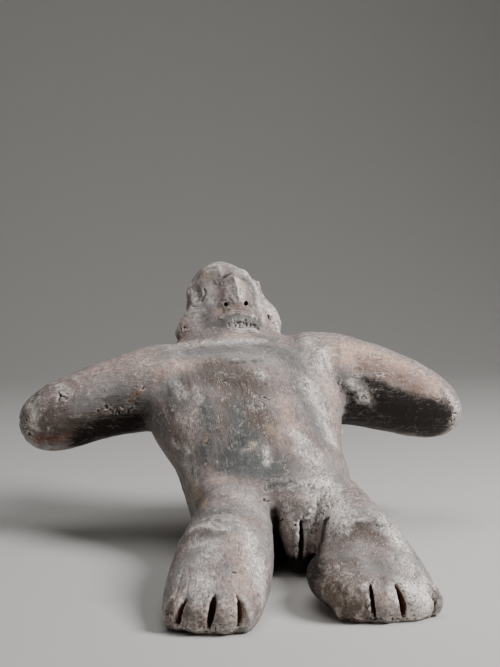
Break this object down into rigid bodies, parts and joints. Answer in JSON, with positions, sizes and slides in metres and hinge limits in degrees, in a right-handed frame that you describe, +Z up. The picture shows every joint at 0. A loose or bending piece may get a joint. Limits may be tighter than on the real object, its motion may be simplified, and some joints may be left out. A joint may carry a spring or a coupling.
{
  "type": "pottery figure",
  "caption": "Fired clay figure of a person who sits with stretched legs, leans back and holds short stub arms out to the sides, with a stylised, lifted face.",
  "frame": {"origin": "bottom centre of the bounding box, on the plane that the seat, the legs and the soles rest on", "axes": "+Z up, the figure faces -Y, +X is towards its left hand side"},
  "size_m": [0.3896, 0.3914, 0.2307],
  "materials": {
    "fired_clay": "burnished, worn, grey to pinkish buff fired clay, unglazed"
  },
  "bodies": {
    "root": {"pottery_figure": "fired_clay"}
  },
  "joints": []
}
